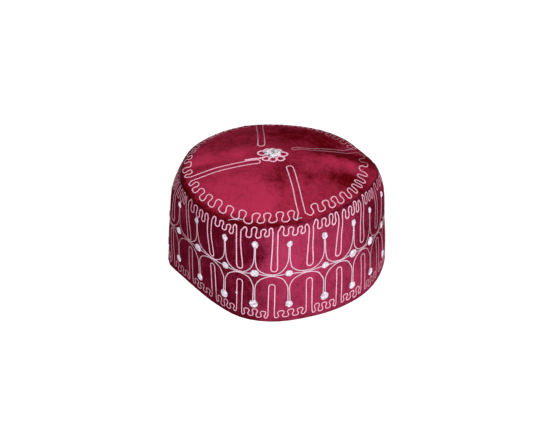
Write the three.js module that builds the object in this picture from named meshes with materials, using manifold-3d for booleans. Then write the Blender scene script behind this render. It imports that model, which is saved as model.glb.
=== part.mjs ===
// A brimless round cap of stiffened velvet: a side band, a low domed crown panel sewn into its
// top, and a raised rosette of thread at the middle of the crown.
// Millimetres, +Z up. The cap stands on its rim, with the origin under the middle of the rim's
// outline. The front of the cap looks along -Y, and turns are counted from +X towards +Y.
import * as THREE from 'three';
import { mergeVertices } from 'three/addons/utils/BufferGeometryUtils.js';
import Module from 'manifold-3d';

// Cap
const HEAD_GIRTH = 580; // round the head, just inside the rim
const WALL = 2.5; // velvet, stiffening and backing as one wall
const SEAM_HEIGHT = 88; // rim to the seam round the crown
const SEAM_INSET = 13.6; // how far the seam stands in from the rim, on average
const CROWN_RISE = 15; // seam to the top of the dome
const TURNED_EDGE = 6; // depth of the crown's edge, turned down inside the band
const CLEARANCE = 0.3; // between pieces that are sewn to each other

// Rosette
const MOUND_DIAMETER = 12.6; // padded middle
const MOUND_HEIGHT = 2;
const PETAL_COUNT = 8;
const PETAL_DIAMETER = 7.2; // over the thread
const PETAL_BITE = 0.6; // how far a petal's loop reaches under the mound
const THREAD = 1.3;

// The cap from above. A row is a turn in degrees. rim is the radius at the rim as a share of the
// mean rim radius, and inset the way in to the seam there as a share of SEAM_INSET. The left flank
// is pressed flat from the fold at 188 degrees to the front.
const PLAN = [
  { turn: 0, rim: 1.035, inset: 0.9 },
  { turn: 20, rim: 1.003, inset: 1.08 },
  { turn: 40, rim: 0.987, inset: 1.02 },
  { turn: 65, rim: 0.977, inset: 1.04 },
  { turn: 90, rim: 0.985, inset: 1.06 },
  { turn: 110, rim: 1.018, inset: 1.08 },
  { turn: 130, rim: 1.033, inset: 1.1 },
  { turn: 150, rim: 1.033, inset: 1.06 },
  { turn: 170, rim: 1.041, inset: 1.2 },
  { turn: 182, rim: 1.051, inset: 1.26 },
  { turn: 190, rim: 1.038, inset: 1.2 },
  { turn: 198, rim: 0.977, inset: 0.88 },
  { turn: 208, rim: 0.932, inset: 0.58 },
  { turn: 220, rim: 0.915, inset: 0.46 },
  { turn: 235, rim: 0.935, inset: 0.56 },
  { turn: 250, rim: 0.98, inset: 0.89 },
  { turn: 265, rim: 0.987, inset: 1.04 },
  { turn: 285, rim: 0.966, inset: 1.17 },
  { turn: 305, rim: 0.978, inset: 1.38 },
  { turn: 325, rim: 1.004, inset: 1.46 },
  { turn: 340, rim: 1.015, inset: 1.23 },
  { turn: 352, rim: 1.027, inset: 0.95 },
];

// The band from the side, rim to shoulder. height is a share of SEAM_HEIGHT, and out the share of
// the seam's inset that the wall still stands out there.
const BAND_SIDE = [
  { height: 0, out: 1 },
  { height: 0.1, out: 0.95 },
  { height: 0.25, out: 0.87 },
  { height: 0.4, out: 0.785 },
  { height: 0.5, out: 0.72 },
  { height: 0.6, out: 0.655 },
  { height: 0.7, out: 0.585 },
  { height: 0.78, out: 0.52 },
  { height: 0.85, out: 0.43 },
  { height: 0.9, out: 0.33 },
  { height: 0.94, out: 0.22 },
  { height: 0.975, out: 0.11 },
  { height: 1, out: 0.04 },
];

// Ridges and hollows left in the crown by storing the cap folded flat. A row is a straight fold
// from one point to another, in shares of the mean seam radius, with its lift as a share of
// CROWN_RISE and its reach to each side as a share of the mean seam radius.
const CROWN_FOLDS = [
  { name: 'right ridge', x1: 0.35, y1: 0.09, x2: 0.9, y2: 0.12, lift: 0.11, reach: 0.15 },
  { name: 'left ridge', x1: -0.35, y1: 0.1, x2: -0.9, y2: 0.17, lift: 0.1, reach: 0.14 },
  { name: 'right hollow', x1: 0.45, y1: -0.12, x2: 0.85, y2: -0.1, lift: -0.1, reach: 0.12 },
  { name: 'left crease', x1: -0.8, y1: 0, x2: -0.35, y2: 0.02, lift: -0.06, reach: 0.07 },
  { name: 'front hollow', x1: 0.2, y1: -0.3, x2: 0.4, y2: -0.42, lift: -0.08, reach: 0.2 },
];
const ROSETTE_PLACE = { x: -0.042, y: 0.018 }; // in shares of the mean seam radius

// Steps of the meshes
const TURNS = 72;
const INNER_STEPS = 6;
const PANEL_RINGS = [0.05, 0.1, 0.15, 0.2, 0.28, 0.37, 0.46, 0.55, 0.64, 0.73, 0.82, 0.91, 1];
const UNDERSIDE_RINGS = [0.12, 0.28, 0.46, 0.64, 0.82, 1];
const ROLL_ANGLES = [30, 60, 90];
const MOUND_SIDES = 32;
const THREAD_SIDES = 8;
const PETAL_STEPS = 16;

const VELVET = { color: 0x8c1b3c, roughness: 0.85, metalness: 0 };
const PALE_THREAD = { color: 0xd9cdd0, roughness: 0.6, metalness: 0 };

const meanRim = HEAD_GIRTH / (2 * Math.PI) + WALL;
const meanSeam = meanRim - SEAM_INSET;
const roll = WALL / 2; // both cloths roll down into the seam by half a wall
const edgeTop = SEAM_HEIGHT - roll;
const edgeFoot = edgeTop - TURNED_EDGE;

// A smooth line through one column of PLAN, which goes once round.
function around(column, turn) {
  const row = (i) => {
    const laps = Math.floor(i / PLAN.length);
    const { turn: at, [column]: value } = PLAN[i - laps * PLAN.length];
    return { at: at + 360 * laps, value };
  };
  const whole = ((turn % 360) + 360) % 360;
  const i = PLAN.findLastIndex((entry) => entry.turn <= whole);
  const [before, from, to, after] = [row(i - 1), row(i), row(i + 1), row(i + 2)];
  const span = to.at - from.at;
  const t = (whole - from.at) / span;
  const slopeIn = ((to.value - before.value) / (to.at - before.at)) * span;
  const slopeOut = ((after.value - from.value) / (after.at - from.at)) * span;
  const bend = from.value - to.value;
  const cubic = 2 * bend + slopeIn + slopeOut;
  const square = -3 * bend - 2 * slopeIn - slopeOut;
  return from.value + t * (slopeIn + t * (square + t * cubic));
}

const rimRadius = (turn) => meanRim * around('rim', turn);
const seamInset = (turn) => SEAM_INSET * around('inset', turn);
const seamRadius = (turn) => rimRadius(turn) - seamInset(turn);

function point(turn, radius, z) {
  const angle = THREE.MathUtils.degToRad(turn);
  return [radius * Math.cos(angle), radius * Math.sin(angle), z];
}

// How far out the band's outside stands at a height, as a share of the seam's inset, and how much
// of that share it gives up for each millimetre higher.
function bandOut(z) {
  const share = z / SEAM_HEIGHT;
  const i = Math.max(1, BAND_SIDE.findIndex((row) => row.height >= share));
  const [low, high] = [BAND_SIDE[i - 1], BAND_SIDE[i]];
  const perShare = (high.out - low.out) / (high.height - low.height);
  return { out: low.out + perShare * (share - low.height), slope: perShare / SEAM_HEIGHT };
}

// The inside of the band keeps a wall's thickness, and beside the crown's turned edge it stays
// outside the seam.
function bandInside(turn, z) {
  const { out, slope } = bandOut(z);
  const lean = seamInset(turn) * slope;
  const radius = seamRadius(turn) + seamInset(turn) * out - WALL * Math.hypot(1, lean);
  return z < edgeFoot - 2 * CLEARANCE ? radius : Math.max(radius, seamRadius(turn));
}

// Height of the crown's upper side over a point of the plan: the dome and its folds, which fade
// out towards the seam.
function crownTop(x, y) {
  const turn = THREE.MathUtils.radToDeg(Math.atan2(y, x));
  const share = Math.min(1, Math.hypot(x, y) / seamRadius(turn));
  const here = new THREE.Vector3(x / meanSeam, y / meanSeam, 0);
  const nearest = new THREE.Vector3();
  let relief = 0;
  for (const fold of CROWN_FOLDS) {
    const line = new THREE.Line3(
      new THREE.Vector3(fold.x1, fold.y1, 0),
      new THREE.Vector3(fold.x2, fold.y2, 0),
    );
    line.closestPointToPoint(here, true, nearest);
    relief += fold.lift * Math.exp(-((here.distanceTo(nearest) / fold.reach) ** 2));
  }
  return SEAM_HEIGHT + CROWN_RISE * (1 - share ** 2 + relief * (1 - share ** 4));
}

const loop = (at) => Array.from({ length: TURNS }, (_, i) => at((360 * i) / TURNS));

// Joins loops of points into one closed skin. A loop of a single point is a pole; where there is
// none, the last loop is joined to the first.
function skin(loops) {
  const positions = loops.flat(2);
  const starts = [];
  let count = 0;
  for (const points of loops) {
    starts.push(count);
    count += points.length;
  }
  const index = [];
  const joints = loops[0].length === 1 ? loops.length - 1 : loops.length;
  for (let k = 0; k < joints; k++) {
    const next = (k + 1) % loops.length;
    const near = (i) => starts[k] + (i % loops[k].length);
    const far = (i) => starts[next] + (i % loops[next].length);
    for (let i = 0; i < TURNS; i++) {
      if (loops[k].length > 1) index.push(near(i), near(i + 1), far(i + 1));
      if (loops[next].length > 1) index.push(near(i), far(i + 1), far(i));
    }
  }
  const geometry = new THREE.BufferGeometry();
  geometry.setAttribute('position', new THREE.Float32BufferAttribute(positions, 3));
  geometry.setIndex(index);
  return geometry;
}

// The band: up its outside, over the roll into the seam, and down its inside to the flat rim.
function band() {
  const outside = BAND_SIDE.map(({ height, out }) =>
    loop((turn) => point(turn, seamRadius(turn) + seamInset(turn) * out, SEAM_HEIGHT * height)),
  );
  const seamFace = [edgeTop, edgeTop - WALL].map((z) =>
    loop((turn) => point(turn, seamRadius(turn), z)),
  );
  const besideEdge = edgeFoot - CLEARANCE;
  const heights = [(edgeTop - WALL + besideEdge) / 2];
  for (let i = INNER_STEPS; i >= 0; i--) heights.push((besideEdge * i) / INNER_STEPS);
  const inside = heights.map((z) => loop((turn) => point(turn, bandInside(turn, z), z)));
  return skin([...outside, ...seamFace, ...inside]);
}

// The crown: a domed panel whose edge rolls over and is turned down inside the band.
function crown() {
  const edge = (turn) => seamRadius(turn) - CLEARANCE;
  const over = (turn, radius, drop) => {
    const [x, y] = point(turn, radius, 0);
    return [x, y, crownTop(x, y) - drop];
  };
  const underside = UNDERSIDE_RINGS.map((share) =>
    loop((turn) => over(turn, (edge(turn) - WALL) * share, WALL)),
  );
  const foot = [WALL, 0].map((inset) => loop((turn) => point(turn, edge(turn) - inset, edgeFoot)));
  const rolled = ROLL_ANGLES.map((degrees) => {
    const angle = THREE.MathUtils.degToRad(degrees);
    const inset = WALL * (1 - Math.sin(angle));
    return loop((turn) => over(turn, edge(turn) - inset, roll * (1 - Math.cos(angle))));
  }).reverse();
  const panel = PANEL_RINGS.map((share) =>
    loop((turn) => over(turn, (edge(turn) - WALL) * share, 0)),
  ).reverse();
  return skin([[over(0, 0, WALL)], ...underside, ...foot, ...rolled, ...panel, [over(0, 0, 0)]]);
}

const wasm = await Module();
wasm.setup();

// A closed solid from a three.js geometry, laid on the crown: each point keeps its height over
// the cloth below it.
function laidOnCrown(geometry, x, y) {
  const bare = geometry.translate(x, y, CLEARANCE);
  bare.deleteAttribute('normal');
  bare.deleteAttribute('uv');
  const merged = mergeVertices(bare, 1e-4);
  const position = merged.attributes.position;
  for (let i = 0; i < position.count; i++) {
    position.setZ(i, position.getZ(i) + crownTop(position.getX(i), position.getY(i)));
  }
  const corners = [];
  const { array } = merged.index;
  for (let i = 0; i < array.length; i += 3) {
    const [a, b, c] = array.slice(i, i + 3);
    if (a !== b && b !== c && c !== a) corners.push(a, b, c);
  }
  return new wasm.Manifold(
    new wasm.Mesh({ numProp: 3, vertProperties: position.array, triVerts: new Uint32Array(corners) }),
  );
}

// The rosette: a padded mound inside a ring of looped petals, one body.
function rosette() {
  const middle = { x: ROSETTE_PLACE.x * meanSeam, y: ROSETTE_PLACE.y * meanSeam };
  const moundRadius = MOUND_DIAMETER / 2;
  const base = [0, 0.35, 0.7, 1].map((share) => new THREE.Vector2(moundRadius * share, 0));
  const dome = [20, 45, 65, 90].map((degrees) => {
    const angle = THREE.MathUtils.degToRad(degrees);
    return new THREE.Vector2(moundRadius * Math.cos(angle), MOUND_HEIGHT * Math.sin(angle));
  });
  dome[dome.length - 1].x = 0;
  const mound = new THREE.LatheGeometry([...base, ...dome], MOUND_SIDES).rotateX(Math.PI / 2);
  let body = laidOnCrown(mound, middle.x, middle.y);
  const petalReach = moundRadius + PETAL_DIAMETER / 2 - PETAL_BITE;
  for (let i = 0; i < PETAL_COUNT; i++) {
    const angle = (2 * Math.PI * i) / PETAL_COUNT;
    const petal = new THREE.TorusGeometry(
      (PETAL_DIAMETER - THREAD) / 2,
      THREAD / 2,
      THREAD_SIDES,
      PETAL_STEPS,
    ).translate(0, 0, THREAD / 2);
    const x = middle.x + petalReach * Math.cos(angle);
    const y = middle.y + petalReach * Math.sin(angle);
    body = body.add(laidOnCrown(petal, x, y));
  }
  const { vertProperties, triVerts } = body.getMesh();
  const geometry = new THREE.BufferGeometry();
  geometry.setAttribute('position', new THREE.BufferAttribute(vertProperties, 3));
  geometry.setIndex(new THREE.BufferAttribute(triVerts, 1));
  return geometry;
}

function piece(name, geometry, finish) {
  geometry.computeVertexNormals();
  const mesh = new THREE.Mesh(geometry, new THREE.MeshStandardMaterial(finish));
  mesh.name = name;
  return mesh;
}

const cap = new THREE.Group();
cap.add(piece('band', band(), VELVET));
cap.add(piece('crown', crown(), VELVET));
cap.add(piece('rosette', rosette(), PALE_THREAD));

// The origin goes under the middle of the rim's outline.
const outline = new THREE.Box3().setFromObject(cap);
cap.position.set(-(outline.min.x + outline.max.x) / 2, -(outline.min.y + outline.max.y) / 2, 0);

export default cap;
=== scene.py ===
import math

import bpy
import numpy as np
from mathutils import Matrix, Vector, noise
from mathutils.bvhtree import BVHTree


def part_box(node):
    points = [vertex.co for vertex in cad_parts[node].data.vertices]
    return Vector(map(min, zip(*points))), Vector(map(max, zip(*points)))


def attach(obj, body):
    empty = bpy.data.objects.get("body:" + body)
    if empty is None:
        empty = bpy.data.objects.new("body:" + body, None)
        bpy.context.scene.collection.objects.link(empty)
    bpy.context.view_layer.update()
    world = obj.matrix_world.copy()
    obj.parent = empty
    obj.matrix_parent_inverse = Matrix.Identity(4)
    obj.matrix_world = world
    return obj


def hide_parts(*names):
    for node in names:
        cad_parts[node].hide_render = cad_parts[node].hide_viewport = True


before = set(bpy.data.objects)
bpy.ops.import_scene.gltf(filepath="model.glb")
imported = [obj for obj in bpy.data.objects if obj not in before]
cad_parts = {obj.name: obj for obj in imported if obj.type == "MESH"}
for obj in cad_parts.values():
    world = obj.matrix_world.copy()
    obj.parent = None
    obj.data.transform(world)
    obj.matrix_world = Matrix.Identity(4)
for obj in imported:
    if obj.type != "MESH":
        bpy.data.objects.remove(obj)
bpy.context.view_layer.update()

# The table and the lamp: a wide, plain white light table, with the camera looking down on the
# cap's front. The light falls from the front and a little from the right, so that the left flank
# and the far half of the crown are darker. Turns and rises are in degrees.
MM = 0.001
TABLE_WIDTH = 8
TABLE_DROP = 0.2 * MM
LAMP_RISE = 40
LAMP_TURN = 18
LAMP_SPREAD = 28
CAMERA_RISE = 38
CAMERA_ROLL = -0.6


class Tone:
    """A value that changes over a surface."""

    def __init__(self, finish, socket):
        self.finish = finish
        self.socket = socket

    def sum(self, operation, first, second):
        return self.finish.node("Math", {"operation": operation}, {0: first, 1: second})

    def __add__(self, other):
        return self.sum("ADD", self, other)

    __radd__ = __add__

    def __sub__(self, other):
        return self.sum("SUBTRACT", self, other)

    def __rsub__(self, other):
        return self.sum("SUBTRACT", other, self)

    def __mul__(self, other):
        return self.sum("MULTIPLY", self, other)

    __rmul__ = __mul__


class Finish:
    """What a surface is made of, with values that are steady or change over it."""

    def __init__(self, name, steady):
        self.material = bpy.data.materials.new(name)
        self.material.use_nodes = True
        self.nodes = self.material.node_tree.nodes
        self.shader = self.nodes["Principled BSDF"]
        self.set(steady)

    def set(self, values):
        for name, value in values.items():
            self.feed(self.shader.inputs[name], value)

    def feed(self, socket, value):
        if isinstance(value, Tone):
            self.material.node_tree.links.new(value.socket, socket)
        else:
            socket.default_value = value

    def node(self, kind, settings, sockets, output=0):
        made = self.nodes.new("ShaderNode" + kind)
        for name, value in settings.items():
            if name == "stops":
                for at, shade in value[1:-1]:
                    made.color_ramp.elements.new(at)
                for element, (at, shade) in zip(made.color_ramp.elements, value):
                    element.position = at
                    element.color = (shade, shade, shade, 1)
            else:
                setattr(made, name, value)
        for name, value in sockets.items():
            self.feed(made.inputs[name], value)
        return Tone(self, made.outputs[output])

    def colour(self, share, first, second):
        """From the first colour, where the share is 0, to the second, where it is 1."""
        return self.node("Mix", {"data_type": "RGBA"}, {0: share, 6: first, 7: second}, 2)

    def cloud(self, place, size, detail=2.0, roughness=0.5):
        """Soft random patches of about the given size in metres."""
        sockets = {"Vector": place, "Scale": 1 / size, "Detail": detail, "Roughness": roughness}
        return self.node("TexNoise", {}, sockets)

    def ramp(self, share, *stops):
        return self.node("ValToRGB", {"stops": stops}, {0: share})

    def wear(self, piece):
        piece.data.materials.append(self.material)


def deselect():
    bpy.ops.object.select_all(action="DESELECT")


def make_active(piece):
    deselect()
    piece.select_set(True)
    bpy.context.view_layer.objects.active = piece


deselect()
bpy.ops.mesh.primitive_grid_add(
    x_subdivisions=8, y_subdivisions=8, size=TABLE_WIDTH, location=(0, 0, -TABLE_DROP)
)
table = bpy.context.active_object
table.name = "table"
paper = Finish(
    "white_paper",
    {
        "Roughness": 0.9,
        "Base Color": (0.3, 0.3, 0.3, 1),
        "Emission Color": (1, 1, 1, 1),
        "Emission Strength": 0.85,
    },
)
paper.wear(table)

key_lamp = bpy.data.objects.new("key_lamp", bpy.data.lights.new("key_lamp", "SUN"))
bpy.context.scene.collection.objects.link(key_lamp)
key_lamp.data.energy = 3.3
key_lamp.data.angle = math.radians(LAMP_SPREAD)
key_lamp.rotation_euler = (math.radians(90 - LAMP_RISE), 0, math.radians(LAMP_TURN))

sky = bpy.data.worlds.new("studio")
sky.use_nodes = True
sky.node_tree.nodes["Background"].inputs["Color"].default_value = (1, 1, 1, 1)
sky.node_tree.nodes["Background"].inputs["Strength"].default_value = 0.42
bpy.context.scene.world = sky
bpy.context.scene.view_settings.view_transform = "Standard"

camera = bpy.data.objects.new("camera", bpy.data.cameras.new("camera"))
bpy.context.scene.collection.objects.link(camera)
camera.data.lens = 57.0
camera.data.sensor_width = 36.0
camera.data.shift_x = -0.0131
camera.data.shift_y = 0.0456
camera.matrix_world = (
    Matrix.Translation((-0.0029, -0.6057, 0.4778))
    @ Matrix.Rotation(math.radians(90 - CAMERA_RISE), 4, "X")
    @ Matrix.Rotation(math.radians(CAMERA_ROLL), 4, "Z")
)
bpy.context.scene.camera = camera

# The side band: a strip of stiffened crimson velvet, joined at the back into a ring and turned
# under at the rim. Velvet stands up in a short pile, whose colour varies at random where it has
# been pressed, with painted light and shade laid over it, and the cloth puckers a little along the
# seam at its top.
SEAM_HEIGHT = 88
BAND_RADIUS = 90
JOINT_TURN = math.radians(88)
JOINT_WIDTH = 1.9
RIM_BEVEL = 0.7


def copy_of(node, name):
    """A new piece from a plain solid of the cap, its triangles joined into four-sided faces."""
    piece = bpy.data.objects.new(name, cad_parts[node].data.copy())
    bpy.context.scene.collection.objects.link(piece)
    piece.data.materials.clear()
    make_active(piece)
    bpy.ops.mesh.customdata_custom_splitnormals_clear()
    bpy.ops.object.mode_set(mode="EDIT")
    bpy.ops.mesh.select_all(action="SELECT")
    bpy.ops.mesh.remove_doubles(threshold=0.01 * MM)
    bpy.ops.mesh.tris_convert_to_quads()
    bpy.ops.object.mode_set(mode="OBJECT")
    return piece


def subdivide(piece, times):
    smooth = piece.modifiers.new("smooth", "SUBSURF")
    smooth.levels = times
    smooth.render_levels = times
    bpy.ops.object.modifier_apply(modifier="smooth")


def corners(piece):
    """The piece's points, in millimetres."""
    points = np.empty(len(piece.data.vertices) * 3)
    piece.data.vertices.foreach_get("co", points)
    return points.reshape(-1, 3) / MM


def move_corners(piece, points):
    piece.data.vertices.foreach_set("co", (points * MM).ravel())
    piece.data.update()


def cloud_at(points, size, seed):
    """Soft random heights from about -1 to 1, the same on every run."""
    shift = Vector((seed * 17.3, seed * 5.1, seed * 9.7))
    return np.array([noise.noise(Vector(point) / size + shift) for point in points])


def soft_step(value, start, end):
    """From 0 at the start to 1 at the end, level at both."""
    share = np.clip((value - start) / (end - start), 0, 1)
    return share * share * (3 - 2 * share)


def velvet(name, bright, dark, sheen):
    """Velvet from dark to bright by the painted light and shade kept at its points, from 0 to 1,
    with random patches where its pile is pressed, streaked or rough.
    """
    cloth = Finish(
        name,
        {
            "Sheen Weight": 0.04,
            "Sheen Roughness": 0.3,
            "Sheen Tint": sheen,
            "Specular IOR Level": 0.0,
        },
    )
    place = cloth.node("TexCoord", {}, {}, "Object")
    # Painted light and shade, read from the points of the piece.
    painted_shading = cloth.node("Attribute", {"attribute_name": "nap"}, {}, "Fac")
    pressed = cloth.ramp(cloth.cloud(place, 0.015, 4, 0.65), (0.34, 0), (0.66, 1))
    lengthways = cloth.node("Mapping", {}, {"Vector": place, "Scale": (1, 1, 0.35)})
    streaks = cloth.ramp(cloth.cloud(lengthways, 0.0045, 3, 0.65), (0.36, 0), (0.64, 1))
    pile = cloth.cloud(place, 0.0018, 3, 0.75)
    light = painted_shading + (pressed - 0.5) * 0.3 + (streaks - 0.5) * 0.25 + (pile - 0.5) * 0.95
    cloth.set({"Base Color": cloth.colour(light, dark, bright), "Roughness": 0.9 - light * 0.2})
    height = pile * 0.35 + cloth.cloud(place, 0.005) * 0.65
    bump = {"Strength": 0.35, "Distance": 0.0006, "Height": height}
    cloth.set({"Normal": cloth.node("Bump", {}, bump)})
    return cloth


def paint_light_and_shade(piece, nap, spots):
    """Keeps painted light and shade at every point, from 0, shaded, to 1, lit, with more or less of
    it in soft round spots. A spot is x, y, z, its size and its share."""
    points = corners(piece)
    for x, y, z, size, share in spots:
        far = np.linalg.norm(points - (x, y, z), axis=1) / size
        nap += share * np.exp(-(far**2))
    kept = piece.data.attributes.new("nap", "FLOAT", "POINT")
    kept.data.foreach_set("value", np.clip(nap, 0, 1))


backing = Finish("cotton_backing", {"Roughness": 0.9, "Sheen Weight": 0.1})
weave_place = backing.node("TexCoord", {}, {}, "Object")
weave = backing.cloud(weave_place, 0.001, 2) * 0.5 + backing.cloud(weave_place, 0.004, 3) * 0.5
backing_tone = backing.colour(weave, (0.06, 0.007, 0.016, 1), (0.16, 0.024, 0.046, 1))
backing_weave = backing.node("Bump", {}, {"Strength": 0.3, "Distance": 0.0003, "Height": weave})
backing.set({"Base Color": backing_tone, "Normal": backing_weave})

band = copy_of("band", "velvet_band")
crease = band.data.attributes.new("crease_edge", "FLOAT", "EDGE")
for edge in band.data.edges:
    low = all(band.data.vertices[i].co.z < 0.05 * MM for i in edge.vertices)
    crease.data[edge.index].value = 1.0 if low else 0.0
subdivide(band, 2)
bevel = band.modifiers.new("turned_rim", "BEVEL")
bevel.width = RIM_BEVEL * MM
bevel.segments = 2
bevel.limit_method = "ANGLE"
bevel.angle_limit = math.radians(60)
bpy.ops.object.modifier_apply(modifier="turned_rim")

band_points = corners(band)
band_turns = np.arctan2(band_points[:, 1], band_points[:, 0])
band_heights = band_points[:, 2]
even_band = np.column_stack(
    [BAND_RADIUS * np.cos(band_turns), BAND_RADIUS * np.sin(band_turns), band_heights]
)
off_rim = np.clip(band_heights / 12, 0, 1)
near_seam = np.exp(-(((SEAM_HEIGHT - band_heights) / 7) ** 2))
swell = 0.9 * cloud_at(even_band, size=34, seed=1) * off_rim
swell += 0.55 * cloud_at(even_band * (1, 1, 0.25), size=6.5, seed=2) * near_seam
# The joint of the strip, a shallow groove down the middle of the back.
joint = np.exp(-(((band_turns - JOINT_TURN) * BAND_RADIUS / JOINT_WIDTH) ** 2))
swell -= 0.9 * joint * off_rim
band_points[:, 0] += swell * np.cos(band_turns)
band_points[:, 1] += swell * np.sin(band_turns)
move_corners(band, band_points)

# Painted shade under the seam and on the left flank, and the colour darker at the rim and along
# the joint. The spots paint light and shade in soft patches, light mostly at the front, shade on
# the right and at the back.
band_painted_light = 0.6 - 0.65 * np.exp(-(((92 - band_heights) / 8) ** 2))
band_painted_light -= 0.2 * np.exp(-((band_heights / 5) ** 2))
band_painted_light -= 0.56 * soft_step(-band_points[:, 0], 2, 30) + 0.35 * joint
paint_light_and_shade(
    band,
    band_painted_light,
    [
        (9, -85, 62, 22, 0.42), (50, -72, 55, 24, 0.15), (-12, -86, 66, 11, -0.45),
        (-30, -82, 40, 12, 0.12), (84, -36, 55, 30, -0.65), (92, 20, 45, 40, -0.3),
        (0, 90, 45, 60, -0.1),
    ],
)
velvet_of_band = velvet(
    "band_velvet",
    bright=(0.305, 0.026, 0.076, 1),
    dark=(0.074, 0.002, 0.009, 1),
    sheen=(0.8, 0.2, 0.4, 1),
)
velvet_of_band.wear(band)
backing.wear(band)
for face in band.data.polygons:
    away = Vector((face.center.x, face.center.y, 0)).normalized()
    face.material_index = 1 if face.normal.dot(away) < -0.3 and face.center.z > 1 * MM else 0
bpy.ops.object.shade_smooth()
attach(band, "root")
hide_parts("band")

# The crown: a round panel of the same velvet, domed a little, its edge rolled over and sewn down
# inside the band. It keeps soft ridges from being folded away, and small puckers at the seam.
CROWN_RADIUS = 80
# A crease's middle in the plan, its length and its depth.
CREASES = ((-62, 1, 13, 1.3), (-50, 2, 7, 0.9))
CREASE_WIDTH = 2.4

crown = copy_of("crown", "velvet_crown")
subdivide(crown, 2)
crown_points = corners(crown)
crown_x, crown_y = crown_points[:, 0], crown_points[:, 1]
crown_turns = np.arctan2(crown_y, crown_x)
crown_reach = np.hypot(crown_x, crown_y)
outline_turns = np.radians(np.arange(0, 361, 5))
outline_reach = np.array(
    [
        crown_reach[np.abs(np.angle(np.exp(1j * (crown_turns - at)))) < 0.04].max()
        for at in outline_turns
    ]
)
inside_seam = (
    np.interp(np.mod(crown_turns, 2 * math.pi), outline_turns, outline_reach) - crown_reach
)
level = 0 * crown_turns
plan = np.column_stack([crown_x, crown_y, level])
round_edge = np.column_stack(
    [CROWN_RADIUS * np.cos(crown_turns), CROWN_RADIUS * np.sin(crown_turns), level]
)
off_seam = soft_step(inside_seam, 3, 18)
puckered = np.exp(-(((inside_seam - 4) / 4) ** 2))
lift = 0.8 * cloud_at(plan, size=30, seed=3) * off_seam
lift += 0.35 * cloud_at(round_edge, size=6, seed=4) * puckered
# Behind the right-hand fold the panel sinks, and two small creases run in from the left.
behind = crown_y - (8 - 0.05 * (crown_x - 30))
hollow = soft_step(behind, -1, 7) * (1 - soft_step(behind, 18, 42))
lift -= 2.6 * hollow * soft_step(crown_x, 14, 32) * off_seam
for x, y, length, depth in CREASES:
    along_crease = (crown_x - x) / length
    across_crease = (crown_y - y + 0.25 * (crown_x - x)) / CREASE_WIDTH
    lift -= depth * np.exp(-(along_crease**2) - across_crease**2)
crown_points[:, 2] += lift
move_corners(crown, crown_points)

# Painted shade along the edge, where it rolls under at the front and the left, less on the right.
# The spots paint light on the front half and shade in the hollows, along the right-hand fold and on
# the far half.
painted_edge_shade = 0.7 - 0.48 * soft_step(crown_x, 8, 26)
paint_light_and_shade(
    crown,
    0.6 - painted_edge_shade * np.exp(-((inside_seam / 5) ** 2)),
    [
        (-25, -50, 95, 22, 0.4), (-42, -37, 96, 20, 0.35), (-12, -62, 92, 16, 0.25),
        (47, -4, 98, 10, 0.2), (64, -3, 95, 8, 0.4), (-62, 9, 93, 13, 0.45),
        (-36, 8, 99, 12, 0.35), (3, -30, 100, 9, -0.5), (14, -20, 101, 8, -0.25),
        (50, -22, 97, 12, -0.4), (66, -20, 93, 9, -0.45), (6, -14, 102, 8, -0.3),
        (28, -24, 98, 8, -0.3), (80, 3, 90, 9, -0.45), (76, 14, 90, 9, -0.45),
        (48, 18, 97, 12, -0.3), (34, 9, 100, 5, -0.4), (44, 11, 98, 6, -0.7),
        (55, 10, 96, 7, -0.75), (66, 7, 93, 7, -0.7), (39, 35, 96, 26, -0.4),
        (8, 46, 97, 28, -0.5), (-44, 30, 96, 20, -0.2), (-60, -2, 94, 6, -0.3),
        (-63, -16, 92, 9, -0.2), (60, 50, 90, 22, -0.2), (-30, 70, 90, 26, -0.15),
        (62, 17, 94, 7, -0.35), (33, -1, 101, 7, -0.2), (62, -31, 91, 11, -0.35),
    ],
)
velvet_of_crown = velvet(
    "crown_velvet",
    bright=(0.365, 0.022, 0.062, 1),
    dark=(0.086, 0.0012, 0.0035, 1),
    sheen=(0.8, 0.2, 0.35, 1),
)
velvet_of_crown.wear(crown)
backing.wear(crown)
for face in crown.data.polygons:
    face.material_index = 1 if face.normal.z < -0.3 else 0
bpy.ops.object.shade_smooth()
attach(crown, "root")
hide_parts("crown")

# The meander round the crown, with four long spokes: one line of pale chain stitch, worked
# through the velvet by a hand-guided machine, so that no two loops are quite alike.
CHAIN_PITCH = 1.6
# Lines are dropped on the cloth from this far off, in metres.
FAR_OFF = 0.2
DOWN = Vector((0, 0, -1))
sewer = np.random.default_rng(11)


def cloth_tree(piece):
    mesh = piece.data
    return BVHTree.FromPolygons(
        [vertex.co for vertex in mesh.vertices], [face.vertices for face in mesh.polygons]
    )


crown_cloth = cloth_tree(crown)


def smooth_line(points, closed=False, steps=8):
    """A smooth line through points of a plan."""
    points = np.asarray(points, float)
    if closed:
        padded = np.vstack([points[-1], points, points[0], points[1]])
    else:
        padded = np.vstack([2 * points[0] - points[1], points, 2 * points[-1] - points[-2]])
    t = np.linspace(0, 1, steps, endpoint=False)[:, None]
    spans = []
    for before, start, end, after in zip(padded, padded[1:], padded[2:], padded[3:]):
        spans.append(
            0.5
            * (
                2 * start
                + (end - before) * t
                + (2 * before - 5 * start + 4 * end - after) * t**2
                + (3 * start - before - 3 * end + after) * t**3
            )
        )
    if not closed:
        spans.append(points[-1:])
    return np.vstack(spans)


def evenly(line, step):
    """Points a step apart along a line."""
    lengths = np.r_[0, np.cumsum(np.linalg.norm(np.diff(line, axis=0), axis=1))]
    count = max(2, round(lengths[-1] / step) + 1)
    at = np.linspace(0, lengths[-1], count)
    return np.column_stack([np.interp(at, lengths, line[:, i]) for i in range(line.shape[1])])


def on_crown(plan):
    """Points of the crown's velvet under points of the plan, with the way up from the cloth."""
    found = []
    for x, y in plan:
        hit, normal, *_ = crown_cloth.ray_cast(Vector((x * MM, y * MM, FAR_OFF)), DOWN)
        found.append([*(hit / MM), *normal])
    return np.array(found)


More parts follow.
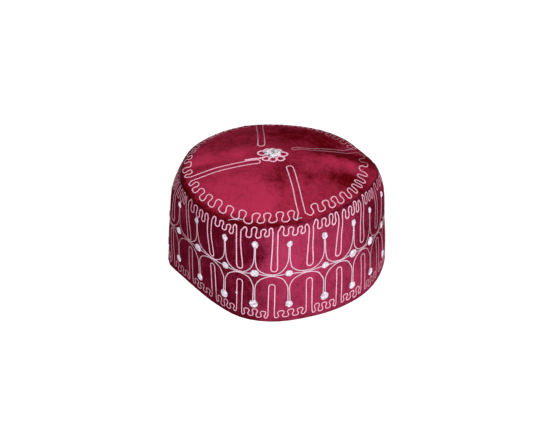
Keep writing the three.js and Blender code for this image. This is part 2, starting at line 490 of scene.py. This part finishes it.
deselect()
bpy.ops.mesh.primitive_torus_add(
    major_segments=10, minor_segments=4, major_radius=0.32, minor_radius=0.22, location=(0, 0, 0)
)
chain_stitch = bpy.context.active_object
bpy.ops.object.mode_set(mode="EDIT")
bpy.ops.transform.resize(value=(1.9, 1, 0.9))
bpy.ops.transform.rotate(value=0.14, orient_axis="Y", center_override=(0, 0, 0))
bpy.ops.object.mode_set(mode="OBJECT")


def pattern_of(template):
    """A template's corners, faces and map, and the template taken away."""
    mesh = template.data
    shape = np.array([vertex.co for vertex in mesh.vertices])
    faces = np.array([face.vertices for face in mesh.polygons])
    uv = np.array([loop.uv for loop in mesh.uv_layers[0].data])
    bpy.data.objects.remove(template)
    return shape, faces, uv


CHAIN = pattern_of(chain_stitch)


def sew(name, pattern, places, finish):
    """One piece made of many copies of a stitch. A place is a middle, three directions and a
    size along each."""
    shape, faces, uv = pattern
    middles, directions, sizes = places
    points = np.einsum("pk,skc->spc", shape, directions * sizes[:, :, None]) + middles[:, None]
    index = faces[None] + (np.arange(len(middles)) * len(shape))[:, None, None]
    mesh = bpy.data.meshes.new(name)
    mesh.from_pydata(
        (points.reshape(-1, 3) * MM).tolist(), [], index.reshape(-1, faces.shape[1]).tolist()
    )
    layer = mesh.uv_layers.new(name="ply")
    layer.data.foreach_set("uv", np.tile(uv, (len(middles), 1)).ravel())
    # How far each stitch has sunk, which also paints shade on its colour.
    sunk = mesh.attributes.new("sunk", "FLOAT", "POINT")
    sunk.data.foreach_set("value", np.repeat(sink_and_shade_share(middles), len(shape)))
    piece = bpy.data.objects.new(name, mesh)
    bpy.context.scene.collection.objects.link(piece)
    make_active(piece)
    bpy.ops.object.shade_smooth()
    finish.wear(piece)
    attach(piece, "root")
    return piece


def sink_and_shade_share(middles):
    """How far the stitches sink into the pile and lie in painted shade: most on the far half of the
    crown and behind its right-hand fold, where the pile leans over them, and a little on the band's
    flanks."""
    x, y, z = middles.T
    on_top = soft_step(z, 88, 90)
    far_half = 0.9 * soft_step(y, 4, 44)
    behind_fold = 0.8 * soft_step(y - 0.2 * x, 0, 6) * soft_step(x, 8, 14)
    right_edge = 0.15 * soft_step(x, 35, 60) + 0.75 * soft_step(x, 62, 70) * soft_step(y, -3, 6)
    flanks = 0.75 * soft_step(-x, 46, 82) + 0.75 * soft_step(x, 58, 86)
    low = (0.12 + 0.4 * soft_step(-x, 25, 55)) * (1 - soft_step(z, 11, 18))
    on_side = np.maximum(flanks, low)
    return on_top * np.maximum.reduce([far_half, behind_fold, right_edge]) + (1 - on_top) * on_side


def chain_places(laid, pitch=CHAIN_PITCH, sink=0.12, swell=1.0):
    """Places of chain stitches along a line of cloth points and their normals."""
    laid = evenly(laid, pitch * swell)
    middles, up = laid[:, :3], laid[:, 3:]
    up = up / np.linalg.norm(up, axis=1)[:, None]
    along = np.gradient(middles, axis=0)
    along -= up * (along * up).sum(1)[:, None]
    along /= np.linalg.norm(along, axis=1)[:, None]
    sway = sewer.uniform(-0.09, 0.09, len(laid))[:, None]
    along = along + sway * np.cross(up, along)
    along /= np.linalg.norm(along, axis=1)[:, None]
    sizes = swell * sewer.uniform(0.93, 1.08, (len(laid), 3))
    directions = np.stack([along, np.cross(up, along), up], axis=1)
    depth = sink - 0.16 * sink_and_shade_share(middles)[:, None]
    return middles + up * depth, directions, sizes


def omega(top, bottom, bulge, steps=10):
    """Half a loop of a meander, from one turning point to the next, fuller at both ends."""
    t = np.arange(steps)[:, None] / steps
    top, bottom = np.asarray(top, float), np.asarray(bottom, float)
    line = top + (bottom - top) * np.hstack([t, 0.5 - 0.5 * np.cos(math.pi * t)])
    line[:, 0] += bulge * np.sin(2 * math.pi * t[:, 0])
    return line


def thread_finish(name, shade, light):
    """Twisted thread, with painted shade in the grooves of its twist. It takes on the velvet's dark
    colour where it is sunk, which stands both for the pile closed over it and for painted shade.
    """
    steady = {"Sheen Weight": 0.25, "Sheen Roughness": 0.4, "Specular IOR Level": 0.3}
    thread = Finish(name, steady)
    ply_place = thread.node("TexCoord", {}, {}, "UV")
    turns = {"wave_type": "BANDS", "bands_direction": "DIAGONAL"}
    ply = thread.node("TexWave", turns, {"Vector": ply_place, "Scale": 3.0})
    tint = thread.cloud(thread.node("TexCoord", {}, {}, "Object"), 0.006, 2)
    tone = thread.colour(ply * 0.35 + tint * 0.65, shade, light)
    # Painted shade and pile over sunk stitches: the colour goes towards the velvet's dark red.
    under_pile_and_shade = thread.node("Attribute", {"attribute_name": "sunk"}, {}, "Fac")
    tone = thread.colour(under_pile_and_shade, tone, (0.21, 0.03, 0.05, 1))
    twist = thread.node("Bump", {}, {"Strength": 0.4, "Distance": 0.0001, "Height": ply})
    thread.set({"Base Color": tone, "Roughness": 0.6 - ply * 0.1, "Normal": twist})
    return thread


thread = thread_finish("pale_thread", shade=(0.70, 0.34, 0.46, 1), light=(0.98, 0.60, 0.745, 1))

# A spoke is its turn at the seam, its inner end in the plan, its width at the seam and at that
# end, how far it bows to one side and the turns of the loops that follow it, which point out and
# in by turns.
SPOKES = (
    {
        "turn": 20.9,
        "tip": (13.8, 10.6),
        "widths": (6.6, 3.8),
        "bow": 0,
        "loops": (
            25, 26.5, 32, 34, 39, 41.5, 46, 48.5, 53, 57, 61, 64, 68.5, 72, 75, 79, 82, 85.5, 89.5,
            93, 97.5,
        ),
    },
    {
        "turn": 100.9,
        "tip": (-12.3, 15.8),
        "widths": (5.8, 5.8),
        "bow": 0,
        "loops": (
            106, 110, 115, 119, 123.5, 127.5, 130, 133, 136, 139, 142, 145, 148.5, 152, 155, 158,
            162, 165.5, 170, 174.5, 181, 184.4, 188.5,
        ),
    },
    {
        "turn": 193.1,
        "tip": (-13.0, -8.9),
        "widths": (5.6, 5.6),
        "bow": 1.9,
        "loops": (
            197.5, 200.5, 205.6, 209, 216.5, 218.5, 225.8, 227.5, 235.2, 237.8, 244.7, 247.6,
            253.3, 257, 260.5, 263.8, 267.7, 272.2, 275.2, 279.9, 282.4,
        ),
    },
    {
        "turn": 286.8,
        "tip": (10.9, -14.4),
        "widths": (5.6, 5.6),
        "bow": 0,
        "loops": (
            291, 298.2, 299.8, 307, 308.3, 315, 316, 323.2, 323.8, 330.3, 331.2, 335.9, 337.6,
            341.3, 342.8, 348.4, 350, 356, 362, 366, 374,
        ),
    },
)
# How far out the tips of the loops lie, inner and outer, at every fifteenth degree.
TIP_STEP = 15
INNER_TIPS = (
    70.5, 72.5, 70, 68.6, 71, 70.5, 71.5, 73.5, 74.4, 76.6, 76.5, 75.3,
    71.6, 69, 68.2, 67.4, 68.2, 69.4, 67, 64.3, 62.7, 64.3, 67, 69,
)
OUTER_TIPS = (
    77.5, 79, 77.5, 76, 76.8, 76.6, 77.2, 79.2, 80.4, 81, 81.2, 80.8,
    79.6, 76, 75.5, 75.9, 77.6, 79.2, 76, 74, 71.2, 72.5, 75, 77,
)


def crown_point(turn, out):
    """A point of the plan at a turn in degrees, between the inner tips, -1, and the outer, 1."""
    steps = np.arange(len(INNER_TIPS) + 1) * TIP_STEP
    inner = np.interp(turn % 360, steps, INNER_TIPS + INNER_TIPS[:1])
    outer = np.interp(turn % 360, steps, OUTER_TIPS + OUTER_TIPS[:1])
    radius = inner + (outer - inner) * (out + 1) / 2
    angle = math.radians(turn)
    return radius * math.cos(angle), radius * math.sin(angle)


meander = []
for spoke in SPOKES:
    base = np.array(crown_point(spoke["turn"], 0))
    tip = np.array(spoke["tip"])
    length = np.linalg.norm(tip - base)
    inward = (tip - base) / length
    beside = np.array([-inward[1], inward[0]])
    foot, half = (width / 2 for width in spoke["widths"])
    leg = [
        (-foot, 0),
        (-0.7 * foot - 0.3 * half, 0.25 * length),
        (-0.5 * foot - 0.45 * half, 0.5 * length),
        (-half, 0.8 * length),
        (-half, length - half),
        (-0.7 * half, length - 0.3 * half),
    ]
    finger = leg + [(0, length)] + [(-across, along) for across, along in reversed(leg)]
    finger = np.array(finger)
    finger[:, 0] += 0.35 * np.sin(finger[:, 1] / 9 + spoke["turn"])
    finger[:, 0] -= spoke["bow"] * np.sin(math.pi * finger[:, 1] / length)
    spoke_line = base - beside * finger[:, :1] + inward * finger[:, 1:]
    meander.append(smooth_line(spoke_line, steps=12))
    places = []
    for i, turn in enumerate(spoke["loops"]):
        side = -1 if i % 2 else 1
        places.append((turn + sewer.uniform(-0.3, 0.3), side * sewer.uniform(0.9, 1.08)))
    # The crowded loops at the right are slimmer than the others.
    bulges = np.interp([turn for turn, out in places], (310, 330, 348, 358), (1.3, 0.5, 0.5, 1.2))
    loops = [omega(a, b, bulge) for a, b, bulge in zip(places, places[1:], bulges)]
    loops = np.vstack([*loops, [places[-1]]])
    meander.append(np.array([crown_point(turn, out) for turn, out in loops]))
round_crown = np.vstack(meander)
round_crown = evenly(np.vstack([round_crown, round_crown[:1]]), step=1.2)[:-1]
round_crown = smooth_line(round_crown, closed=True, steps=4)
round_crown = np.vstack([round_crown, round_crown[:1]])
sew("crown_meander", CHAIN, chain_places(on_crown(round_crown)), thread)

# The meander below the seam: chain stitch in short loops under the seam, with one long finger
# down the band in each of the twenty repeats.
REPEATS = 20
FLAT_RADIUS = 91
# Where the columns of dots stand, in repeats round the band from its right side: high, in the
# middle and low on the band.
COLUMNS = (
    (0.34, 0.20, 0.14), (1.33, 1.27, 1.24), (2.36, 2.33, 2.32), (3.31, 3.30, 3.31),
    (4.35, 4.37, 4.36), (5.40, 5.38, 5.37), (6.33, 6.35, 6.35), (7.36, 7.34, 7.33),
    (8.31, 8.32, 8.33), (9.30, 9.29, 9.28), (10.26, 10.25, 10.24), (11.23, 11.22, 11.21),
    (12.23, 12.27, 12.33), (13.42, 13.45, 13.38), (14.38, 14.37, 14.34), (15.38, 15.34, 15.33),
    (16.48, 16.44, 16.38), (17.59, 17.42, 17.31), (18.44, 18.23, 18.13), (19.39, 19.13, 19.07),
)
COLUMN_HEIGHTS = (74.0, 47.4, 17.8)

band_cloth = cloth_tree(band)


def on_band(side):
    """Points of the band's outside at a turn and a height, with the way out from the cloth."""
    found = []
    for at, z in side:
        out = Vector((math.cos(at), math.sin(at), 0))
        hit, normal, *_ = band_cloth.ray_cast(out * FAR_OFF + Vector((0, 0, z * MM)), -out)
        found.append([*(hit / MM), *normal])
    return np.array(found)


girth_turns = np.radians(np.arange(0, 360.5, 1))
girth = on_band(np.column_stack([girth_turns, 0 * girth_turns + SEAM_HEIGHT / 2]))[:, :2]
girth_lengths = np.r_[0, np.cumsum(np.linalg.norm(np.diff(girth, axis=0), axis=1))]
REPEAT = girth_lengths[-1] / REPEATS


def column(number, z, columns, heights):
    """Where a column of dots or a finger stands at a height, in repeats round the band."""
    laps, number = divmod(number, REPEATS)
    return REPEATS * laps + np.interp(-z, [-h for h in heights], columns[number])


def side_point(at, z, across=0.0, columns=COLUMNS, heights=COLUMN_HEIGHTS):
    """Turn and height of a point that lies at a share of the way between two columns of dots or
    two fingers, and some millimetres across from there."""
    number = math.floor(at)
    share = at - number
    start, end = (column(i, z, columns, heights) for i in (number, number + 1))
    repeats = (1 - share) * start + share * end + across / REPEAT
    length = repeats / REPEATS * girth_lengths[-1]
    laps, length = divmod(length, girth_lengths[-1])
    return 2 * math.pi * laps + np.interp(length, girth_lengths, girth_turns), z


def side_meander(turning, fingers, heights, ends, neck, finger_widths, bulge, longer=()):
    """A closed meander round the band. turning gives the turning points between one finger and
    the next, and each finger runs from the neck to its end. After some fingers the loops reach
    longer, by the given millimetres."""
    line = []
    for number in range(REPEATS):
        end = ends[number]
        towards = 1 if end > neck else -1
        narrow, wide = (width / 2 + sewer.uniform(-0.15, 0.15) for width in finger_widths)
        leg = [(narrow, neck), (narrow, 0.6 * neck + 0.4 * end), (wide, 0.2 * neck + 0.8 * end)]
        leg += [(wide, end - towards * wide), (0.72 * wide, end - towards * 0.3 * wide)]
        finger = [(-w, z) for w, z in leg] + [(0, end)] + [(w, z) for w, z in reversed(leg)]
        finger = [side_point(number, z, w, fingers, heights) for w, z in finger]
        line.append(smooth_line(finger, steps=10))
        places = []
        for i, (at, z) in enumerate(turning):
            place = number + at + sewer.uniform(-0.012, 0.012)
            z -= dict(longer).get(number, 0) * (i % 2)
            places.append((place, z + sewer.uniform(-0.8, 0.8)))
        loops = [omega(a, b, bulge) for a, b in zip(places, places[1:])]
        loops = np.vstack([*loops, [places[-1]]])
        line.append(np.array([side_point(at, z, 0, fingers, heights) for at, z in loops]))
    return np.vstack(line)


def closed_side_line(line):
    """The line with its ends joined, made even and smooth on the band laid out flat, as points
    of the cloth."""
    flat = np.column_stack([line[:, 0] * FLAT_RADIUS, line[:, 1]])
    start = flat[:1] + [2 * math.pi * FLAT_RADIUS, 0]
    flat = evenly(np.vstack([flat, start]), step=1.0)
    flat = smooth_line(flat, steps=3)
    return on_band(np.column_stack([flat[:, 0] / FLAT_RADIUS, flat[:, 1]]))


# Where the fingers hang, in the same repeats: at the seam, below it and at their ends.
UPPER_FINGER_HEIGHTS = (85, 72, 50)
UPPER_FINGERS = (
    (0.95, 0.89, 0.80), (1.94, 1.91, 1.86), (2.90, 2.89, 2.87), (3.90, 3.89, 3.90),
    (4.94, 4.94, 4.94), (5.93, 5.92, 5.92), (6.91, 6.91, 6.90), (7.88, 7.89, 7.89),
    (8.87, 8.86, 8.86), (9.85, 9.84, 9.83), (10.80, 10.82, 10.83), (11.62, 11.69, 11.82),
    (12.81, 12.79, 12.90), (13.86, 13.89, 13.93), (14.97, 14.95, 14.92), (16.10, 16.01, 15.96),
    (17.22, 17.01, 16.87), (18.27, 17.98, 17.83), (19.03, 18.91, 18.69), (20.02, 19.92, 19.75),
)
UPPER_FINGER_ENDS = (
    50.8, 49.9, 51.2, 50.4, 49.6, 50.9, 51.3, 50.2, 49.8, 51.0, 51.5, 48.2, 48.8, 49.8, 49.8, 51.0,
    51.4, 52.2, 52.0, 51.2,
)
upper = side_meander(
    turning=[
        (0.15, 86.6), (0.27, 79.8), (0.44, 86.4), (0.515, 79.8), (0.685, 86.2), (0.745, 79.6),
        (0.9, 86.4),
    ],
    fingers=UPPER_FINGERS,
    heights=UPPER_FINGER_HEIGHTS,
    ends=UPPER_FINGER_ENDS,
    neck=83.5,
    finger_widths=(4.2, 5.0),
    bulge=0.033,
    longer=((9, 1.5), (10, 2.5), (11, 2.5)),
)
sew("upper_meander", CHAIN, chain_places(closed_side_line(upper)), thread)

# The meander above the rim: the same stitch the other way up and a little finer, its fingers
# standing between the lower arches.

# Where the fingers stand, in the same repeats: at their ends and at their feet.
LOWER_FINGER_HEIGHTS = (40, 8)
LOWER_FINGERS = (
    (0.77, 0.73), (1.84, 1.82), (2.85, 2.85), (3.87, 3.87), (4.91, 4.91), (5.90, 5.90),
    (6.88, 6.88), (7.86, 7.86), (8.83, 8.83), (9.80, 9.80), (10.80, 10.85), (11.88, 11.87),
    (12.92, 12.96), (13.93, 13.90), (14.86, 14.83), (15.94, 15.91), (16.89, 16.83),
    (17.82, 17.74), (18.67, 18.60), (19.70, 19.65),
)
LOWER_FINGER_ENDS = (
    40.0, 39.1, 38.4, 40.6, 39.5, 38.8, 40.3, 39.9, 38.6, 41.2, 43.0, 41.2, 41.3, 39.2, 37.4, 39.2,
    40.6, 41.0, 42.4, 41.5,
)
lower = side_meander(
    turning=[
        (0.105, 4.3), (0.26, 11.9), (0.37, 4.2), (0.515, 11.9), (0.62, 4.3), (0.765, 11.8),
        (0.87, 4.3),
    ],
    fingers=LOWER_FINGERS,
    heights=LOWER_FINGER_HEIGHTS,
    ends=LOWER_FINGER_ENDS,
    neck=7.5,
    finger_widths=(4.9, 4.9),
    bulge=0.045,
)
sew("lower_meander", CHAIN, chain_places(closed_side_line(lower), swell=0.9), thread)

# The scallops: a row of hanging loops above and a row of arches below, which meet under each
# finger and rise or fall as paired stems to the dots.

# A point of a line is its share of the way from one column of dots to the next and its height.
UPPER_SCALLOP = (
    (0.015, 71.5), (0.015, 63), (0.03, 58), (0.07, 53), (0.17, 49.7), (0.30, 47.9), (0.45, 47.1),
    (0.60, 47.1), (0.71, 48.1), (0.85, 51.3), (0.935, 55.6), (0.975, 60.7), (0.985, 71.5),
)
LOWER_ARCH = (
    (0.03, 21), (0.02, 33.5), (0.055, 37.4), (0.11, 40.3), (0.21, 42.8), (0.40, 45.2), (0.60, 45.2),
    (0.80, 42.8), (0.90, 38.6), (0.965, 33.5), (0.97, 21),
)
OVAL_LINK = ((0.10, 46.7), (0.25, 46.5), (0.42, 46.1), (0.60, 46.1), (0.76, 46.5), (0.90, 46.9))


def together(places):
    """Several groups of stitches as one."""
    return tuple(np.concatenate(part) for part in zip(*places))


def row_of(line):
    """Places of chain stitches for one line repeated round the band, a little astray each time."""
    places = []
    for number in range(REPEATS):
        across, up = sewer.uniform(-0.35, 0.35, 2)
        fade = np.sin(np.linspace(0, math.pi, len(line)))
        side = [
            side_point(number + at, z + up * share, across * share)
            for (at, z), share in zip(line, fade)
        ]
        places.append(chain_places(on_band(smooth_line(side)), swell=0.88))
    return together(places)


white_thread = thread_finish(
    "white_thread", shade=(0.54, 0.36, 0.45, 1), light=(0.84, 0.66, 0.76, 1)
)
sew("upper_scallops", CHAIN, row_of(UPPER_SCALLOP), white_thread)
sew("lower_arches", CHAIN, row_of(LOWER_ARCH), white_thread)
sew("oval_links", CHAIN, row_of(OVAL_LINK), white_thread)

# The dots and ovals: pads of satin stitch, close parallel stitches over a little padding, at the
# ends of the stems and between the scallops.
SATIN_PITCH = 0.62
OVAL_HEIGHT = 47.4
# The dots of a column: how high each stands, its width and its height.
DOTS = ((73.7, 5.4, 5.6), (OVAL_HEIGHT, 8.0, 6.0), (17.6, 7.4, 7.1))

deselect()
bpy.ops.mesh.primitive_uv_sphere_add(segments=6, ring_count=5, radius=0.5, location=(0, 0, 0))
satin_stitch = bpy.context.active_object
bpy.ops.object.mode_set(mode="EDIT")
bpy.ops.transform.rotate(value=math.pi / 2, orient_axis="Y", center_override=(0, 0, 0))
bpy.ops.mesh.quads_convert_to_tris()
bpy.ops.object.mode_set(mode="OBJECT")


def in_order(pattern):
    """The same pattern with its triangles in one order, whatever order they came in."""
    shape, faces, uv = pattern
    lowest = faces.argmin(axis=1)[:, None]
    round_face = (lowest + np.arange(3)) % 3
    faces = np.take_along_axis(faces, round_face, axis=1)
    uv = np.take_along_axis(uv.reshape(-1, 3, 2), round_face[:, :, None], axis=1)
    order = np.lexsort(faces.T[::-1])
    return shape, faces[order], uv[order].reshape(-1, 2)


SATIN = in_order(pattern_of(satin_stitch))


def dot_places(side, wide, high, lean):
    """Satin stitches that fill an oval of the given width and height."""
    centre = on_band([side])[0]
    out = Vector(centre[3:])
    level = Vector((-out.y, out.x, 0)).normalized()
    rise = out.cross(level)
    along = (math.cos(lean) * level + math.sin(lean) * rise).normalized()
    across = out.cross(along)
    count = round(high / SATIN_PITCH)
    rows = (np.arange(count) - (count - 1) / 2) / (count / 2)
    middles = []
    sizes = []
    for row in rows:
        chord = math.sqrt(max(0.06, 1 - row**2))
        wander = sewer.uniform(-0.3, 0.3)
        spot = centre[:3] + np.array(across) * row * high / 2 + np.array(along) * wander
        middles.append(spot + np.array(out) * (0.1 + 0.28 * chord))
        length = wide * chord * sewer.uniform(0.92, 1.08)
        sizes.append((length, SATIN_PITCH * 1.35, 0.5 + 0.5 * chord))
    directions = np.tile([along, across, out], (count, 1, 1))
    return np.array(middles), directions, np.array(sizes)


def silk_finish(name, hollow_shade, white):
    """White silk, with painted shade in the small hollows between its strands."""
    silk = Finish(name, {"Sheen Weight": 0.2, "Sheen Roughness": 0.4, "Specular IOR Level": 0.3})
    place = silk.node("TexCoord", {}, {}, "Object")
    tint = silk.ramp(silk.cloud(place, 0.0022, 3), (0.38, 0), (0.62, 1))
    grain = silk.node("Bump", {}, {"Strength": 0.4, "Distance": 0.0002, "Height": tint})
    tone = silk.colour(tint, hollow_shade, white)
    silk.set({"Base Color": tone, "Roughness": 0.6 - tint * 0.12, "Normal": grain})
    return silk


silk = silk_finish("white_silk", hollow_shade=(0.40, 0.35, 0.40, 1), white=(0.74, 0.67, 0.74, 1))

dots = []
for number in range(REPEATS):
    for z, wide, high in DOTS:
        size = sewer.uniform(0.87, 1.07)
        lean = 0.25 if z == OVAL_HEIGHT else sewer.uniform(-0.5, 0.5)
        dots.append(dot_places(side_point(number, z), wide * size, high * size, lean))
# A knot was left on the leg of one lower finger at the front.
knot = side_point(13, 24.6, -2.4, LOWER_FINGERS, LOWER_FINGER_HEIGHTS)
dots.append(dot_places(knot, wide=1.7, high=2.2, lean=0.4))
sew("satin_dots", SATIN, together(dots), silk)

# The rosette: loops of thick thread round a padded middle that is worked over and over until it
# stands up, rough and fuzzy, over the loops behind it. The left spoke's upper line runs into it.
rosette_low, rosette_high = (np.array(corner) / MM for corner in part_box("rosette"))
rosette_centre = (rosette_low + rosette_high)[:2] / 2
# A petal's turn, how far out its middle lies and its radius.
PETALS = (
    (1, 8.9, 3.2), (48, 7.0, 2.6), (92, 6.4, 2.6), (130, 7.4, 2.7),
    (168, 9.4, 3.3), (230, 8.6, 3.0), (269, 7.8, 3.2), (315, 9.1, 3.1),
)
petal_places = []
for turn, distance, radius in PETALS:
    angle = math.radians(turn)
    centre = rosette_centre + distance * np.array([math.cos(angle), math.sin(angle)])
    round_turns = np.linspace(0, 2 * math.pi, 25)
    wobble = radius * (1 + 0.05 * np.sin(3 * round_turns + turn))[:, None]
    ring = centre + wobble * np.column_stack([np.cos(round_turns), np.sin(round_turns)])
    petal_places.append(chain_places(on_crown(ring), pitch=1.2, sink=0.45, swell=1.35))
link = smooth_line([(-25, -5.0), (-19.5, -4.6), (-14, -4.4), (-9.2, -2.6)])
for shift in (-0.25, 0.25):
    petal_places.append(chain_places(on_crown(link + [0, shift]), sink=0.35, swell=1.25))
petals = sew("rosette_petals", CHAIN, together(petal_places), thread)
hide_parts("rosette")

# The middle is a heap of short strands that lie every way, narrower at the front.
STRANDS = 460
HEAP_CENTRE = rosette_centre + [0.1, 1.2]
HEAP_REACH = (8.4, 5.9)
HEAP_HEIGHT = 1.2
rough_silk = silk_finish("rough_silk", hollow_shade=(0.16, 0.13, 0.15, 1), white=(0.86, 0.80, 0.86, 1))

aim = sewer.uniform(0, 2 * math.pi, STRANDS)
off_middle = sewer.uniform(0, 1, STRANDS) ** 0.55
spread = np.column_stack([off_middle * np.cos(aim), off_middle * np.sin(aim)]) * HEAP_REACH
spread[:, 0] *= 0.66 + 0.34 * soft_step(spread[:, 1], -1, 3)
under_heap = on_crown(HEAP_CENTRE + spread)[:, :3]
heaped = HEAP_HEIGHT * np.sqrt(np.clip(1 - off_middle**2, 0, 1))
heaped += 0.5 * cloud_at(under_heap, size=1.6, seed=5) + 0.35
facing = sewer.uniform(0, math.pi, STRANDS)
tilt = sewer.uniform(-0.45, 0.45, STRANDS)
strand_along = np.column_stack([np.cos(facing), np.sin(facing), tilt])
strand_along /= np.linalg.norm(strand_along, axis=1)[:, None]
strand_across = np.cross([0, 0, 1], strand_along)
strand_across /= np.linalg.norm(strand_across, axis=1)[:, None]
strand_up = np.cross(strand_along, strand_across)
strand_directions = np.stack([strand_along, strand_across, strand_up], axis=1)
strand_sizes = sewer.uniform((2.2, 0.4, 0.4), (5.0, 0.75, 0.75), (STRANDS, 3))
strand_middles = under_heap + np.outer(heaped, [0, 0, 1])
sew("rosette_middle", SATIN, (strand_middles, strand_directions, strand_sizes), rough_silk)

# Loose ends: a few short wisps of thread, whiter and finer than the stitches, that stand out of
# the seam at the front. Each has its two ends in the plan.
WISPS = (
    ((-37.5, -70.6), (-30, -72.4)), ((-34, -71), (-27.5, -72.2)), ((14.6, -73), (19.4, -70.6)),
)
wisps = []
for start, end in WISPS:
    wisp = smooth_line([start, np.add(start, end) / 2 + [0, 0.5], end])
    wisps.append(chain_places(on_crown(wisp), sink=0.35, swell=0.6))
sew("loose_ends", CHAIN, together(wisps), silk)
